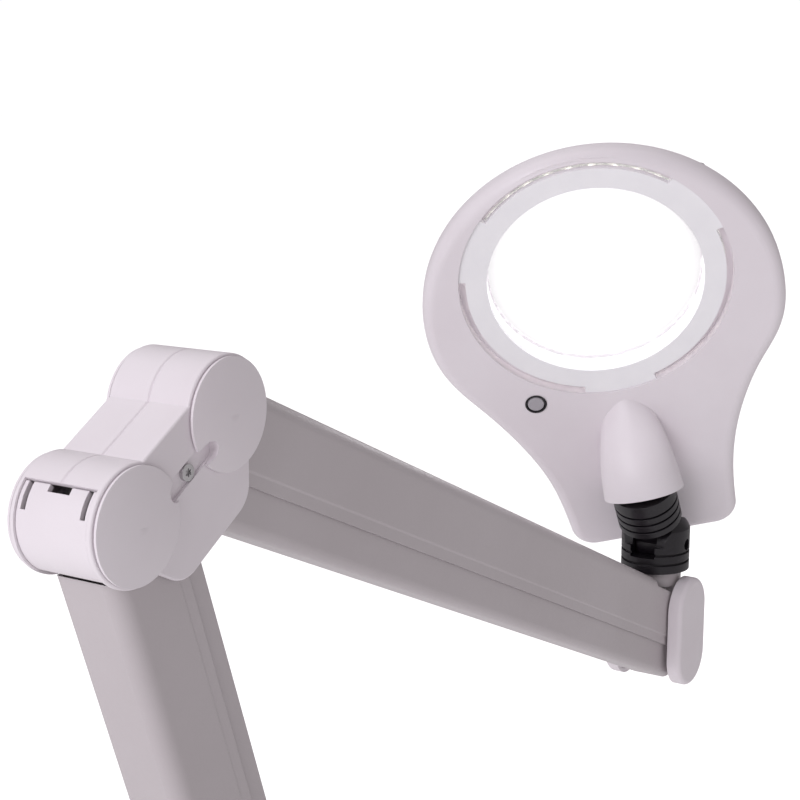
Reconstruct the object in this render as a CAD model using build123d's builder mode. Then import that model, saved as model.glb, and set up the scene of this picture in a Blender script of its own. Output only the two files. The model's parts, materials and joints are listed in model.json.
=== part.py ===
from build123d import *
import math
import os

# Illuminated bench magnifier on a spring balanced double arm.
# Frame: millimetres, +Z up, +X from the lower arm towards the lens head, every arm pivot along Y.
# Origin: on the table top, on the axis of the vertical spindle that the whole arm turns about.
# "Left" is the +Y side and "right" is the -Y side.

# ---- driving dimensions ------------------------------------------------------------------------
lower_arm_length = 465.0      # pivot to pivot
upper_arm_length = 490.0
link_spacing = 28.5           # main pivot to link pivot, the same on all four brackets
elbow_span = 61.0             # lower arm pivot to upper arm pivot on the elbow
elbow_angle = 31.2            # slope of the line that joins those two pivots
rear_link_angle = -27.4       # direction from a lower arm pivot to its link pivot
front_link_angle = -90.0      # direction from an upper arm pivot to its link pivot
lower_angle = 108.85          # lower arm, bottom to top, from +X towards +Z
upper_angle = -24.4           # upper arm, elbow to head

axle_radius = 4.0
axle_seat = 1.7               # main axle, how far each end sits in its cover
axle_proud = 0.2              # link axle past the channel walls
running_clearance = 0.05
open_pivot_clearance = 0.3
bush_radius = 5.2

channel_half = 16.1           # main channel, half its width
channel_flat = 9.8            # half the flat of its outer face
channel_face = 14.7           # pivot line to outer face, on both channels
channel_hem = 22.0            # pivot line to the free edge of its walls
channel_wall = 1.5
link_half = 14.0              # link channel, half its width
link_wall = 1.4
link_lip = 9.0                # pivot line to the free edge of its walls
end_reach = 13.0              # channel past its pivot
web_start = 4.0               # folded face starts this far along from the pivot
rear_cover_radius = 22.0      # outside of the elbow's rear cover, round the rear pivot

plate_inner = 9.0             # steel bracket plates stand between these two, from the middle plane
plate_outer = 12.0
cover_inner = 17.3            # plastic covers start here
cover_outer = 19.5

barrel_radius = 23.0
cap_radius = 22.0
cap_edge = 21.2
cap_crown = 23.4
lobe_radius = 13.1
shell_wall = 2.2
web_height = 16.8

spindle_radius = 6.35         # half inch spindle
lower_pivot_height = 82.0     # lower arm pivot above the table top

swivel_offset = -2.5          # head spindle ahead of the last pivot
tilt_height = 45.3            # tilt axis above the last pivot
head_tilt = 29.8              # head leans this far from upright, towards the elbow
head_twist = 27.0             # head turned this far about its own long axis
head_reach = 179.5            # tilt axis to lens centre, along the head
head_offset = 24.0            # head axis in front of the head's face

lens_radius = 63.5            # five inch lens
ring_radius = 78.5            # round opening in the head's face
head_radius = 105.0           # round end of the head
head_round_centre = -22.0     # its centre, below the lens centre
face_depth = 10.0             # face shell
head_depth = 20.0             # face shell and back shell together
head_wall = 2.4


def along(start, angle, distance):
    """The point at a distance from start, at an angle in the XZ plane."""
    turn = math.radians(angle)
    return (start[0] + distance * math.cos(turn), start[1] + distance * math.sin(turn))


def side_plane(point, angle=0.0):
    """A plane in XZ at a point: its x runs at the angle, its y is up from it, its normal is -Y."""
    turn = math.radians(angle)
    return Plane(origin=(point[0], 0, point[1]), x_dir=(math.cos(turn), 0, math.sin(turn)), z_dir=(0, -1, 0))


def section_plane(point, angle, start):
    """A plane square to an arm: its x is Y, its y is the arm's outer side, its normal runs along the arm."""
    turn = math.radians(angle)
    origin = along(point, angle, start)
    return Plane(origin=(origin[0], 0, origin[1]), x_dir=(0, 1, 0), z_dir=(math.cos(turn), 0, math.sin(turn)))


def finish(builder, name):
    builder.part.label = name
    export_step(builder.part, f"parts/{name}.step")


def axles(name, points, half_length):
    """Round pins along Y, one at each point."""
    with BuildPart() as pins:
        with BuildSketch(side_plane((0, 0))):
            with Locations(*points):
                Circle(axle_radius)
        extrude(amount=half_length, both=True)
        chamfer(pins.edges().filter_by(GeomType.CIRCLE), 0.5)
    finish(pins, name)


os.makedirs("parts", exist_ok=True)

# ---- pivot points, as (x, z) -------------------------------------------------------------------
base_pivot = (-link_spacing * math.cos(math.radians(rear_link_angle)) / 2, lower_pivot_height)
base_link = along(base_pivot, rear_link_angle, link_spacing)
rear_pivot = along(base_pivot, lower_angle, lower_arm_length)
rear_link = along(rear_pivot, rear_link_angle, link_spacing)
front_pivot = along(rear_pivot, elbow_angle, elbow_span)
front_link = along(front_pivot, front_link_angle, link_spacing)
head_pivot = along(front_pivot, upper_angle, upper_arm_length)
head_link = along(head_pivot, front_link_angle, link_spacing)
tilt_point = (head_pivot[0] + swivel_offset, head_pivot[1] + tilt_height)

# ---- table clamp -------------------------------------------------------------------------------
pad_thickness = 1.5           # rubber between the jaw and the table
jaw_half_width = 22.0
jaw_thickness = 10.5          # top of the upper jaw above the table
throat_depth = 52.0
throat_height = 64.0
back_thickness = 10.0
clamp_reach = 30.0            # jaw tip ahead of the spindle
socket_radius = 15.0
socket_top = 34.0
socket_bottom = 4.0
screw_x = 12.0
screw_radius = 5.0
screw_hole = 5.06
back_x = clamp_reach - throat_depth - back_thickness
lower_jaw_thickness = 12.0
lower_jaw_x = clamp_reach - 4
socket_wall = 1.6             # thickness of the bush between the socket and the spindle
knob_radius = 8.5
knob_height = 16.0
bar_height = 8.0              # cross bar above the foot of the screw
bar_radius = 3.0
bar_half = 38.0
bar_end_radius = 4.6
bar_end_length = 2.0

with BuildPart() as clamp_frame:
    with BuildSketch(Plane.XZ):
        with BuildLine():
            Polyline(
                (clamp_reach, pad_thickness), (clamp_reach, jaw_thickness), (back_x, jaw_thickness),
                (back_x, -throat_height - lower_jaw_thickness), (lower_jaw_x, -throat_height - lower_jaw_thickness),
                (lower_jaw_x, -throat_height), (back_x + back_thickness, -throat_height),
                (back_x + back_thickness, pad_thickness), close=True,
            )
        make_face()
    extrude(amount=jaw_half_width, both=True)
    fillet(clamp_frame.edges().filter_by(Axis.Y), 1.8)
    with BuildSketch(Plane.XY.offset(jaw_thickness)):
        Circle(socket_radius)
    extrude(amount=socket_top - jaw_thickness)
    fillet(clamp_frame.faces().sort_by(Axis.Z)[-1].edges(), 1.2)
    with BuildSketch(Plane.XY.offset(socket_top)):
        Circle(spindle_radius + socket_wall)
    extrude(amount=socket_bottom - socket_top, mode=Mode.SUBTRACT)
    with BuildSketch(Plane.XY.offset(-throat_height)):
        with Locations((screw_x, 0)):
            Circle(screw_hole)
    extrude(amount=-lower_jaw_thickness, mode=Mode.SUBTRACT)
finish(clamp_frame, "clamp_frame")

with BuildPart() as spindle_bush:
    with BuildSketch(Plane.XY.offset(socket_bottom)):
        Circle(spindle_radius + socket_wall)
        Circle(spindle_radius + running_clearance, mode=Mode.SUBTRACT)
    extrude(amount=socket_top - socket_bottom)
    with BuildSketch(Plane.XY.offset(socket_top)):
        Circle(13.5)
        Circle(spindle_radius + running_clearance, mode=Mode.SUBTRACT)
    extrude(amount=2)
finish(spindle_bush, "spindle_bush")

screw_top = -42.0
screw_bottom = -throat_height - 64.0
with BuildPart() as clamp_screw:
    with BuildSketch(Plane.XY.offset(screw_bottom)):
        with Locations((screw_x, 0)):
            Circle(screw_radius)
    extrude(amount=screw_top - screw_bottom)
    with BuildSketch(Plane.XY.offset(screw_bottom)):
        with Locations((screw_x, 0)):
            Circle(knob_radius)
    extrude(amount=knob_height)
    with BuildSketch(Plane.XZ):
        with Locations((screw_x, screw_bottom + bar_height)):
            Circle(bar_radius + running_clearance)
    extrude(amount=knob_radius + 1, both=True, mode=Mode.SUBTRACT)
    chamfer(clamp_screw.edges().group_by(Axis.Z)[0], 1.0)
finish(clamp_screw, "clamp_screw")

with BuildPart() as clamp_pad:
    with BuildSketch(Plane.XY.offset(screw_top)):
        with Locations((screw_x, 0)):
            Circle(15)
    extrude(amount=5)
    fillet(clamp_pad.edges().group_by(Axis.Z)[-1], 1.2)
finish(clamp_pad, "clamp_pad")

with BuildPart() as clamp_bar:
    with BuildSketch(Plane.XZ):
        with Locations((screw_x, screw_bottom + bar_height)):
            Circle(bar_radius)
    extrude(amount=bar_half, both=True)
    for end in (-bar_half, bar_half - bar_end_length):
        with BuildSketch(Plane.XZ.offset(end)):
            with Locations((screw_x, screw_bottom + bar_height)):
                Circle(bar_end_radius)
        extrude(amount=bar_end_length)
finish(clamp_bar, "clamp_bar")

with BuildPart() as table_pad:
    with BuildSketch(Plane.XY):
        with Locations((clamp_reach - throat_depth / 2 - 2, 0)):
            RectangleRounded(throat_depth - 8, 2 * jaw_half_width - 6, 4)
    extrude(amount=pad_thickness)
finish(table_pad, "table_pad")

# ---- base bracket ------------------------------------------------------------------------------
collar_bottom = socket_top + 2.1
collar_top = collar_bottom + 12
block_length = 34.0           # block between the two base plates
block_height = 10.0

with BuildPart() as base_spindle:
    with BuildSketch(Plane.XY.offset(socket_bottom + 1)):
        Circle(spindle_radius)
    extrude(amount=collar_bottom - socket_bottom - 1)
    with BuildSketch(Plane.XY.offset(collar_bottom)):
        Circle(16.5)
    extrude(amount=collar_top - collar_bottom)
    with BuildSketch(Plane.XY.offset(collar_top)):
        Rectangle(block_length, 2 * plate_inner)
    extrude(amount=block_height)
    chamfer(base_spindle.edges().group_by(Axis.Z)[0], 1.0)
finish(base_spindle, "base_spindle")


def base_plate(side):
    """One of the two steel plates that carry the lower arm."""
    plane = side_plane((0, 0)).offset(side * plate_inner)
    with BuildPart() as plate:
        with BuildSketch(plane):
            with Locations(base_pivot):
                Circle(11)
            with Locations((-6, collar_top + 9)):
                Circle(9)
            make_hull()
        extrude(amount=side * (plate_outer - plate_inner))
        with BuildSketch(plane):
            with Locations(base_link):
                Circle(9)
            with Locations((8, collar_top + 9)):
                Circle(9)
            make_hull()
        extrude(amount=side * (plate_outer - plate_inner))
        with BuildSketch(plane):
            with Locations((0, collar_top + 7)):
                Rectangle(block_length, 14)
        extrude(amount=side * (plate_outer - plate_inner))
        with BuildSketch(plane):
            with Locations(base_pivot, base_link):
                Circle(axle_radius)
        extrude(amount=side * (plate_outer - plate_inner), mode=Mode.SUBTRACT)
    return plate


def base_cover(side, name):
    plane = side_plane((0, 0)).offset(side * cover_inner)
    with BuildPart() as cover:
        with BuildSketch(plane):
            with Locations(base_pivot):
                Circle(barrel_radius - 1)
            with Locations(base_link):
                Circle(lobe_radius)
            with Locations((-10, collar_top + 11), (10, collar_top + 11)):
                Circle(9)
            make_hull()
        extrude(amount=side * (cover_outer - cover_inner))
        outer_face = cover.faces().sort_by(Axis.Y)[0 if side > 0 else -1]
        fillet(outer_face.edges(), 0.9)
        with BuildSketch(plane):
            with Locations(base_pivot):
                Circle(axle_radius)
        extrude(amount=side * axle_seat, mode=Mode.SUBTRACT)
        with BuildSketch(side_plane((0, 0)).offset(side * plate_outer)):
            with Locations((0, collar_top + 6)):
                Circle(5)
        extrude(amount=side * (cover_inner - plate_outer))
    finish(cover, name)


# ---- round caps over the main pivots -----------------------------------------------------------
recess_start = 17.6           # screw recess on the elbow, along the line between its pivots
recess_end = 47.9
recess_drop = -3.2
recess_width = 7.6
recess_floor = 18.1
recess_screw = 31.8


def recess_cut(side):
    """The shallow stadium across both caps that the cover screw sits in."""
    plane = side_plane(rear_pivot, elbow_angle).offset(side * recess_floor)
    with BuildSketch(plane) as stadium:
        with Locations(((recess_start + recess_end) / 2, recess_drop)):
            SlotOverall(recess_end - recess_start, recess_width)
    extrude(stadium.sketch, amount=side * 8, mode=Mode.SUBTRACT)


def crown_drop(reach, rise, distance):
    """How far a spherical crown has dropped at a distance from its axis."""
    radius = (reach ** 2 + rise ** 2) / (2 * rise)
    return radius - math.sqrt(radius ** 2 - distance ** 2)


def round_cap(point, side, recessed=False):
    """Domed cap, slightly undercut where it meets its cover."""
    edge = -side
    middle = cap_radius / 2
    middle_height = cap_crown - crown_drop(cap_radius, cap_crown - cap_edge, middle)
    with BuildPart() as cap:
        with BuildSketch(Plane(origin=(point[0], 0, point[1]))):
            with BuildLine():
                Line((0, edge * cover_outer), (cap_radius - 1.2, edge * cover_outer))
                Line((cap_radius - 1.2, edge * cover_outer), (cap_radius - 1.2, edge * (cover_outer + 0.6)))
                Line((cap_radius - 1.2, edge * (cover_outer + 0.6)), (cap_radius, edge * (cover_outer + 0.6)))
                Line((cap_radius, edge * (cover_outer + 0.6)), (cap_radius, edge * cap_edge))
                ThreePointArc(
                    (cap_radius, edge * cap_edge),
                    (middle, edge * middle_height),
                    (0, edge * cap_crown),
                )
                Line((0, edge * cap_crown), (0, edge * cover_outer))
            make_face()
        revolve(axis=Axis((point[0], 0, point[1]), (0, 1, 0)))
        if recessed:
            recess_cut(side)
    return cap


# ---- arm channels ------------------------------------------------------------------------------
def main_channel(name, start, angle, length, far_cut, head_notch):
    """Folded channel that hides the spring and half of the link channel."""
    shoulder = 7.0
    notch_floor = 10.0
    with BuildPart() as channel:
        with BuildSketch(section_plane(start, angle, -end_reach)):
            with BuildLine():
                Polyline((0, channel_face), (channel_flat, channel_face))
                ThreePointArc((channel_flat, channel_face), (14.6, 11.9), (channel_half, shoulder))
                Polyline(
                    (channel_half, shoulder), (channel_half, -16), (15.7, -17), (15.7, -channel_hem),
                    (14.6, -channel_hem), (14.6, shoulder),
                )
                ThreePointArc((14.6, shoulder), (13.2, 11.0), (9.2, channel_face - channel_wall))
                Polyline((9.2, channel_face - channel_wall), (0, channel_face - channel_wall))
                mirror(about=Plane.YZ)
            make_face()
        extrude(amount=length + 2 * end_reach)
        with BuildSketch(side_plane(start, angle)):
            with Locations((0, 0), (length, 0)):
                Circle(end_reach)
            with Locations((length / 2, (channel_face - channel_hem) / 2)):
                Rectangle(length - 2 * web_start, channel_face + channel_hem)
        extrude(amount=channel_half + 1, both=True, mode=Mode.INTERSECT)
        if far_cut:
            with BuildSketch(side_plane(start, angle)):
                with Locations((length, 0)):
                    Circle(far_cut)
                with Locations((length, shoulder - far_cut)):
                    Rectangle(2 * far_cut, 2 * far_cut, mode=Mode.SUBTRACT)
            extrude(amount=channel_half + 1, both=True, mode=Mode.SUBTRACT)
        if head_notch:
            with BuildSketch(side_plane(start, angle)):
                with Locations((length, channel_face)):
                    Rectangle(2 * head_notch, 2 * (channel_face - notch_floor))
            extrude(amount=channel_half + 1, both=True, mode=Mode.SUBTRACT)
        with BuildSketch(side_plane(start, angle)):
            with Locations((0, 0), (length, 0)):
                Circle(bush_radius)
        extrude(amount=channel_half + 1, both=True, mode=Mode.SUBTRACT)
    finish(channel, name)


def link_channel(name, start, angle, length):
    """Narrower channel, nested in the main one, that keeps the brackets level."""
    corner = 5.0
    with BuildPart() as channel:
        with BuildSketch(section_plane(start, angle, -end_reach)):
            with BuildLine():
                Polyline((0, -channel_face), (link_half - corner, -channel_face))
                RadiusArc((link_half - corner, -channel_face), (link_half, corner - channel_face), -corner)
                Polyline(
                    (link_half, corner - channel_face), (link_half, link_lip),
                    (link_half - link_wall, link_lip), (link_half - link_wall, corner - channel_face),
                )
                RadiusArc(
                    (link_half - link_wall, corner - channel_face),
                    (link_half - corner, link_wall - channel_face), corner - link_wall,
                )
                Polyline((link_half - corner, link_wall - channel_face), (0, link_wall - channel_face))
                mirror(about=Plane.YZ)
            make_face()
        extrude(amount=length + 2 * end_reach)
        with BuildSketch(side_plane(start, angle)):
            with Locations((0, 0), (length, 0)):
                Circle(9)
            with Locations((length / 2, -4)):
                Rectangle(length - 4, 2 * channel_face - 8)
            with Locations((length / 2, -2)):
                Rectangle(length - 100, 2 * link_lip + 4)
        extrude(amount=link_half + 1, both=True, mode=Mode.INTERSECT)
        with BuildSketch(side_plane(start, angle)):
            with Locations((0, 0), (length, 0)):
                Circle(bush_radius)
        extrude(amount=link_half + 1, both=True, mode=Mode.SUBTRACT)
    finish(channel, name)


def bushes(name, start, angle, length, inner, outer, far_clearance):
    """Four flanged plastic bushes, one in each wall hole of a channel."""
    flange = 0.3
    with BuildPart() as group:
        for place, clearance in ((0, running_clearance), (length, far_clearance)):
            for side in (1, -1):
                with BuildSketch(side_plane(start, angle).offset(side * inner)):
                    with Locations((place, 0)):
                        Circle(bush_radius)
                        Circle(axle_radius + clearance, mode=Mode.SUBTRACT)
                extrude(amount=side * (outer - inner))
                with BuildSketch(side_plane(start, angle).offset(side * (inner - flange))):
                    with Locations((place, 0)):
                        Circle(bush_radius + 1.6)
                        Circle(axle_radius + clearance, mode=Mode.SUBTRACT)
                extrude(amount=side * flange)
    finish(group, name)


def balance_spring(name, rod_name, start, angle):
    """Tension spring along the main channel, drawn as its outer tube, with its pull rod and anchor."""
    spring_start = 120.0
    spring_end = 330.0
    eye_radius = 7.0
    with BuildPart() as spring:
        with BuildSketch(section_plane(start, angle, spring_start)):
            Circle(8.0)
            Circle(6.2, mode=Mode.SUBTRACT)
        extrude(amount=spring_end - spring_start)
    finish(spring, name)
    with BuildPart() as pull_rod:
        with BuildSketch(side_plane(start, angle)):
            Circle(eye_radius)
            Circle(axle_radius + running_clearance, mode=Mode.SUBTRACT)
        extrude(amount=3, both=True)
        with BuildSketch(section_plane(start, angle, eye_radius - 1)):
            Circle(1.8)
        extrude(amount=spring_start - eye_radius + 1)
        with BuildSketch(section_plane(start, angle, spring_start - 6)):
            Circle(7.0)
        extrude(amount=6)
    finish(pull_rod, rod_name)
    with BuildPart() as anchor:
        with BuildSketch(section_plane(start, angle, spring_end)):
            Circle(7.0)
        extrude(amount=8)
        with BuildSketch(section_plane(start, angle, spring_end + 8)):
            with Locations((0, (channel_face - channel_wall - 7) / 2)):
                Rectangle(2 * 9.0, channel_face - channel_wall + 7)
        extrude(amount=4)
        with BuildSketch(section_plane(start, angle, spring_end + 12)):
            RegularPolygon(5.5, 6)
        extrude(amount=5)
    finish(anchor, f"{name}_anchor")


# ---- base and lower arm ------------------------------------------------------------------------
with BuildPart() as base_plates:
    add(base_plate(-1).part)
    add(base_plate(1).part)
finish(base_plates, "base_plates")
base_cover(-1, "base_left_cover")
base_cover(1, "base_right_cover")
axles("base_axle", [base_pivot], cover_inner + axle_seat)
axles("base_link_axle", [base_link], link_half + axle_proud)
with BuildPart() as base_caps:
    add(round_cap(base_pivot, -1).part)
    add(round_cap(base_pivot, 1).part)
finish(base_caps, "base_caps")

main_channel("lower_main_channel", base_pivot, lower_angle, lower_arm_length, rear_cover_radius + 0.5, 0)
link_channel("lower_link_channel", base_link, lower_angle, lower_arm_length)
bushes("lower_main_bushes", base_pivot, lower_angle, lower_arm_length, channel_half - channel_wall, channel_half,
       running_clearance)
bushes("lower_link_bushes", base_link, lower_angle, lower_arm_length, link_half - link_wall, link_half,
       open_pivot_clearance)
balance_spring("lower_spring", "lower_pull_rod", base_pivot, lower_angle)

# ---- elbow -------------------------------------------------------------------------------------
lip_angle = 134.5             # rear edge of the top wall, round the rear pivot
front_edge_angle = 76.0       # front edge of the top wall, round the front pivot
rear_cover_start = 136.0
rear_cover_end = 238.0
tongue_slot_end = 163.7
tongue_slot_place = 14.2
tongue_slot_width = 2.3
latch_width = 10.4            # notch in the middle of the cover's upper edge
latch_depth = 4.2


foot_drop = link_spacing * math.sin(math.radians(elbow_angle - rear_link_angle))
rear_foot = link_spacing * math.cos(math.radians(elbow_angle - rear_link_angle))
front_foot = elbow_span - link_spacing * math.cos(math.radians(90 - elbow_angle))


def elbow_plate(side):
    """One of the two steel plates that carry both arms."""
    plane = side_plane(rear_pivot, elbow_angle).offset(side * plate_inner)
    with BuildPart() as plate:
        with BuildSketch(plane):
            with Locations((0, 0), (elbow_span, 0)):
                Circle(11)
            make_hull()
        extrude(amount=side * (plate_outer - plate_inner))
        for foot in (rear_foot, front_foot):
            with BuildSketch(plane):
                with Locations((foot, 0), (foot, -foot_drop)):
                    Circle(9)
                make_hull()
            extrude(amount=side * (plate_outer - plate_inner))
        with BuildSketch(plane):
            with Locations((0, 0), (elbow_span, 0)):
                Circle(axle_radius)
        extrude(amount=side * (plate_outer - plate_inner), mode=Mode.SUBTRACT)
        with BuildSketch(side_plane((0, 0)).offset(side * plate_inner)):
            with Locations(rear_link, front_link):
                Circle(axle_radius)
        extrude(amount=side * (plate_outer - plate_inner), mode=Mode.SUBTRACT)
        with BuildSketch(plane):
            with Locations((recess_screw, recess_drop)):
                Circle(5.5)
        extrude(amount=side * (plate_outer - plate_inner), mode=Mode.SUBTRACT)
    return plate


def elbow_outline(shrink):
    """Side view of the elbow covers, in the frame of the line between the two main pivots."""
    with Locations((0, 0), (elbow_span, 0), (rear_foot, -foot_drop), (front_foot, -foot_drop)):
        Circle(lobe_radius - shrink)
    make_hull()
    with Locations((elbow_span / 2, (web_height - shrink) / 2)):
        Rectangle(elbow_span, web_height - shrink)
    with Locations((0, 0), (elbow_span, 0)):
        Circle(barrel_radius - shrink)


def elbow_shell(side, name):
    plane = side_plane(rear_pivot, elbow_angle)
    local_lip = math.radians(lip_angle - elbow_angle)
    local_front = math.radians(front_edge_angle - elbow_angle)
    far = 90.0
    with BuildPart() as shell:
        with BuildSketch(plane):
            elbow_outline(0)
        extrude(amount=side * cover_outer)
        outer_edges = shell.faces().sort_by(Axis.Y)[0 if side > 0 else -1].edges()
        fillet(outer_edges, 1.0)
        seam_edges = shell.faces().sort_by(Axis.Y)[-1 if side > 0 else 0].edges()
        chamfer(seam_edges, 0.6)
        with BuildSketch(plane):
            elbow_outline(shell_wall)
        extrude(amount=side * cover_inner, mode=Mode.SUBTRACT)
        with BuildSketch(plane):
            with BuildLine():
                Polyline(
                    (0, 0), (far * math.cos(local_lip), far * math.sin(local_lip)), (-far, -far),
                    (2 * far, -far), (2 * far, far * math.sin(local_front)),
                    (elbow_span + far * math.cos(local_front), far * math.sin(local_front)),
                    (elbow_span, 0), close=True,
                )
            make_face()
        extrude(amount=side * cover_inner, mode=Mode.SUBTRACT)
        with BuildSketch(side_plane((0, 0)).offset(side * cover_inner)):
            with Locations(rear_pivot, front_pivot):
                Circle(axle_radius)
        extrude(amount=side * axle_seat, mode=Mode.SUBTRACT)
        recess_cut(side)
    finish(shell, name)


with BuildPart() as cover_ring:
    sweep_angle = rear_cover_end - rear_cover_start
    with BuildSketch(Plane(origin=(rear_pivot[0], 0, rear_pivot[1]))):
        with Locations(((2 * rear_cover_radius - shell_wall) / 2, 0)):
            Rectangle(shell_wall, 2 * cover_inner - 0.4)
    revolve(axis=Axis((rear_pivot[0], 0, rear_pivot[1]), (0, -1, 0)), revolution_arc=sweep_angle)
with BuildPart() as elbow_rear_cover:
    add(cover_ring.part.rotate(Axis((rear_pivot[0], 0, rear_pivot[1]), (0, -1, 0)), rear_cover_start))
    slot_angle = (rear_cover_start + tongue_slot_end) / 2
    slot_plane = section_plane(rear_pivot, slot_angle, 15)
    slot_length = 2 * rear_cover_radius * math.sin(math.radians(tongue_slot_end - rear_cover_start) / 2)
    with BuildSketch(slot_plane):
        with Locations((tongue_slot_place, 0), (-tongue_slot_place, 0)):
            Rectangle(tongue_slot_width, slot_length)
    extrude(amount=12, mode=Mode.SUBTRACT)
    with BuildSketch(section_plane(rear_pivot, rear_cover_start + 2, 15)):
        Rectangle(latch_width, latch_depth)
    extrude(amount=12, mode=Mode.SUBTRACT)
finish(elbow_rear_cover, "elbow_rear_cover")

with BuildPart() as elbow_plates:
    add(elbow_plate(-1).part)
    add(elbow_plate(1).part)
finish(elbow_plates, "elbow_plates")
elbow_shell(-1, "elbow_left_shell")
elbow_shell(1, "elbow_right_shell")
for side, side_name in ((-1, "left"), (1, "right")):
    with BuildPart() as elbow_caps:
        add(round_cap(rear_pivot, side, recessed=True).part)
        add(round_cap(front_pivot, side, recessed=True).part)
    finish(elbow_caps, f"elbow_{side_name}_caps")
axles("elbow_axles", [rear_pivot, front_pivot], cover_inner + axle_seat)
axles("elbow_link_axles", [rear_link, front_link], link_half + axle_proud)

with BuildPart() as elbow_post:
    post_plane = side_plane(rear_pivot, elbow_angle)
    with BuildSketch(post_plane):
        with Locations((recess_screw, recess_drop)):
            Circle(5.5)
    extrude(amount=cover_inner, both=True)
finish(elbow_post, "elbow_post")

with BuildPart() as elbow_screws:
    for side in (1, -1):
        with BuildSketch(side_plane(rear_pivot, elbow_angle).offset(side * recess_floor)):
            with Locations((recess_screw, recess_drop)):
                Circle(3.3)
        extrude(amount=side * 1.6)
        with BuildSketch(side_plane(rear_pivot, elbow_angle).offset(side * (recess_floor + 1.6))):
            with Locations((recess_screw, recess_drop)):
                for turn in (0, 60, 120):
                    SlotOverall(3.4, 0.9, rotation=turn)
        extrude(amount=-side * 1.0, mode=Mode.SUBTRACT)
finish(elbow_screws, "elbow_screws")

# ---- upper arm ---------------------------------------------------------------------------------
head_notch = 40.0             # the last of the main channel's outer face is cut away under the black joint
main_channel("upper_main_channel", front_pivot, upper_angle, upper_arm_length, 0, head_notch)
link_channel("upper_link_channel", front_link, upper_angle, upper_arm_length)
bushes("upper_main_bushes", front_pivot, upper_angle, upper_arm_length, channel_half - channel_wall, channel_half,
       running_clearance)
bushes("upper_link_bushes", front_link, upper_angle, upper_arm_length, link_half - link_wall, link_half,
       open_pivot_clearance)
balance_spring("upper_spring", "upper_pull_rod", front_pivot, upper_angle)

# ---- head bracket ------------------------------------------------------------------------------
bracket_top = 28.5            # above the last pivot, where the black joint stands
core_radius = 12.0
core_half = 11.5
post_place = (11.0, -20.0)    # what ties each cover to the core, from the last pivot
post_radius = 3.5
bracket_radius = 19.5         # covers are a round ended slab over both pivots
bracket_raise = 4.0           # its upper centre above the last pivot
bracket_lift = 3.0            # its lower centre above the link pivot
bracket_edge = 26.0           # outer face of the covers, from the middle plane
bracket_skin = 2.6
pin_radius = 5.0              # upright pin that the black joint turns on
pin_depth = 24.0
boss_radius = 15.5            # round top of the core, under the joint
boss_height = 9.5

with BuildPart() as bracket_core:
    with BuildSketch(side_plane(head_pivot)):
        with Locations((0, 0), (0, -link_spacing)):
            Circle(core_radius)
        make_hull()
    extrude(amount=core_half, both=True)
    with BuildSketch(side_plane(head_pivot)):
        with Locations(post_place):
            Circle(post_radius + 1.5)
        with Locations((0, bracket_top / 2 - 2)):
            Rectangle(2 * core_radius, bracket_top - 4)
    extrude(amount=core_half, both=True)
    with BuildSketch(Plane.XY.offset(head_pivot[1] + bracket_top)):
        with Locations((tilt_point[0], 0)):
            Circle(boss_radius)
    extrude(amount=-boss_height)
    with BuildSketch(side_plane(head_pivot)):
        with Locations((0, 0), (0, -link_spacing)):
            Circle(axle_radius)
    extrude(amount=20, both=True, mode=Mode.SUBTRACT)
    with BuildSketch(Plane.XY.offset(head_pivot[1] + bracket_top)):
        with Locations((tilt_point[0], 0)):
            Circle(pin_radius)
    extrude(amount=-pin_depth, mode=Mode.SUBTRACT)
finish(bracket_core, "bracket_core")


def bracket_outline(shrink):
    with Locations((0, bracket_raise), (0, bracket_lift - link_spacing)):
        Circle(bracket_radius - shrink)
    make_hull()


def bracket_cover(side, name):
    plane = side_plane(head_pivot)
    with BuildPart() as cover:
        with BuildSketch(plane.offset(side * cover_inner)):
            bracket_outline(0)
        extrude(amount=side * (bracket_edge - cover_inner))
        fillet(cover.faces().sort_by(Axis.Y)[0 if side > 0 else -1].edges(), 3.0)
        with BuildSketch(plane.offset(side * cover_inner)):
            bracket_outline(bracket_skin)
        extrude(amount=side * (bracket_edge - bracket_skin - cover_inner), mode=Mode.SUBTRACT)
        with BuildSketch(plane.offset(side * core_half)):
            with Locations(post_place):
                Circle(post_radius)
        extrude(amount=side * (bracket_edge - bracket_skin - core_half))
        with BuildSketch(plane.offset(side * cover_inner)):
            Circle(7)
            Circle(axle_radius, mode=Mode.SUBTRACT)
        extrude(amount=side * (bracket_edge - bracket_skin - cover_inner))
    finish(cover, name)


bracket_cover(-1, "bracket_left_cover")
bracket_cover(1, "bracket_right_cover")
axles("bracket_axle", [head_pivot], cover_inner + axle_seat)
axles("bracket_link_axle", [head_link], link_half + axle_proud)

with BuildPart() as swivel_pin:
    with BuildSketch(Plane.XY.offset(head_pivot[1] + bracket_top - pin_depth)):
        with Locations((tilt_point[0], 0)):
            Circle(pin_radius)
    extrude(amount=pin_depth + 4.0)
finish(swivel_pin, "swivel_pin")

# ---- black head joint --------------------------------------------------------------------------
fork_radius = 21.0
fork_slot = 8.0
slot_floor = 7.0              # below the tilt axis, beside the tongue
ear_radius = 16.5
ear_crown = 23.0              # the ears are rounded off to this sphere, to clear the head
tongue_radius = 12.0
fork_bottom = head_pivot[1] + bracket_top + 0.3
groove_depth = 1.6
groove_width = 1.6
tilt_pin_radius = 3.5
fork_plane = side_plane(tilt_point)

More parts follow.
